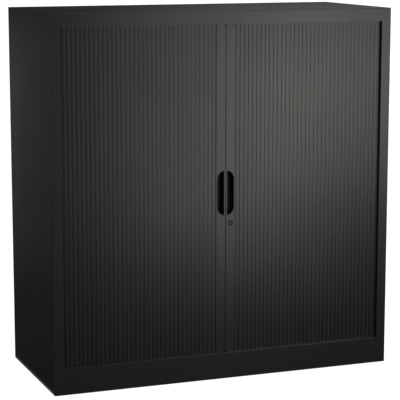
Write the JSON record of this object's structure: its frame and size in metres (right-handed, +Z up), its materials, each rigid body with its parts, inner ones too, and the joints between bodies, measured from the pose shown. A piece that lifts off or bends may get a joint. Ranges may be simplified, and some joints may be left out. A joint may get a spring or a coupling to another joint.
{
  "type": "roll front tool cabinet",
  "caption": "Freestanding steel cabinet whose ribbed roller curtains slide sideways into the walls, with loose shelves, finger cups, a hook lock and levelling feet.",
  "frame": {"origin": "on the floor under the middle of the cabinet", "axes": "+X to the right across the front, +Y towards the back, +Z up; the doors face -Y"},
  "size_m": [1, 0.43, 1.03],
  "materials": {
    "carcass_coat": "black powder coat on folded sheet steel, fine orange peel, satin",
    "stile_coat": "black powder coat, smooth satin",
    "slat_plastic": "extruded black plastic slats, satin crests",
    "track_plastic": "moulded black plastic, waxy",
    "cup_plastic": "moulded black plastic, fine spark grain",
    "shoe_plastic": "natural glide plastic",
    "zinc_steel": "zinc plated steel",
    "lock_metal": "black plated lock body with a worn rim",
    "lock_plug_metal": "dark nickel plug with a bright key slot",
    "foot_plastic": "black foot plastic",
    "cap_plastic": "black plastic caps"
  },
  "bodies": {
    "carcass": {"left_side_panel": "carcass_coat", "right_side_panel": "carcass_coat", "top_panel": "carcass_coat", "plinth_front": "carcass_coat", "back_panel": "carcass_coat", "base_pan": "carcass_coat", "top_pan": "carcass_coat", "left_inner_liner": "carcass_coat", "right_inner_liner": "carcass_coat", "left_bottom_track": "track_plastic", "right_bottom_track": "track_plastic", "left_top_track": "track_plastic", "right_top_track": "track_plastic", "bottom_shelf": "carcass_coat", "shelf_lower": "carcass_coat", "shelf_upper": "carcass_coat", "shelf_clips": "zinc_steel", "centre_stops": "track_plastic", "foot_brackets": "zinc_steel", "foot_nuts": "zinc_steel", "access_plugs": "cap_plastic"},
    "left_door": {"left_stile": "stile_coat", "left_slats": "slat_plastic", "left_handle_cup": "cup_plastic", "left_top_shoe": "shoe_plastic", "left_bottom_shoe": "shoe_plastic", "lock_keeper": "zinc_steel"},
    "right_door": {"right_stile": "stile_coat", "right_slats": "slat_plastic", "right_handle_cup": "cup_plastic", "right_top_shoe": "shoe_plastic", "right_bottom_shoe": "shoe_plastic", "lock_barrel": "lock_metal", "lock_nut": "zinc_steel"},
    "lock": {"lock_plug": "lock_plug_metal", "lock_hook": "zinc_steel", "lock_hook_screw": "zinc_steel"},
    "foot_front_left": {"foot_stem_front_left": "zinc_steel", "foot_pad_front_left": "foot_plastic"},
    "foot_front_right": {"foot_stem_front_right": "zinc_steel", "foot_pad_front_right": "foot_plastic"},
    "foot_rear_left": {"foot_stem_rear_left": "zinc_steel", "foot_pad_rear_left": "foot_plastic"},
    "foot_rear_right": {"foot_stem_rear_right": "zinc_steel", "foot_pad_rear_right": "foot_plastic"}
  },
  "joints": [
    {"name": "left_door_slide", "type": "slide", "parent": "carcass", "child": "left_door", "axis": [-1, 0, 0], "range_m": [0, 0.442], "deforming": ["left_slats"]},
    {"name": "right_door_slide", "type": "slide", "parent": "carcass", "child": "right_door", "axis": [1, 0, 0], "range_m": [0, 0.442], "deforming": ["right_slats"]},
    {"name": "lock_turn", "type": "hinge", "parent": "right_door", "child": "lock", "pos_m": [0.015, -0.2, 0.443], "axis": [0, 1, 0], "range_deg": [0, 90]},
    {"name": "foot_front_left_adjust", "type": "slide", "parent": "carcass", "child": "foot_front_left", "axis": [0, 0, -1], "range_m": [0, 0.012]},
    {"name": "foot_front_right_adjust", "type": "slide", "parent": "carcass", "child": "foot_front_right", "axis": [0, 0, -1], "range_m": [0, 0.012]},
    {"name": "foot_rear_left_adjust", "type": "slide", "parent": "carcass", "child": "foot_rear_left", "axis": [0, 0, -1], "range_m": [0, 0.012]},
    {"name": "foot_rear_right_adjust", "type": "slide", "parent": "carcass", "child": "foot_rear_right", "axis": [0, 0, -1], "range_m": [0, 0.012]}
  ]
}
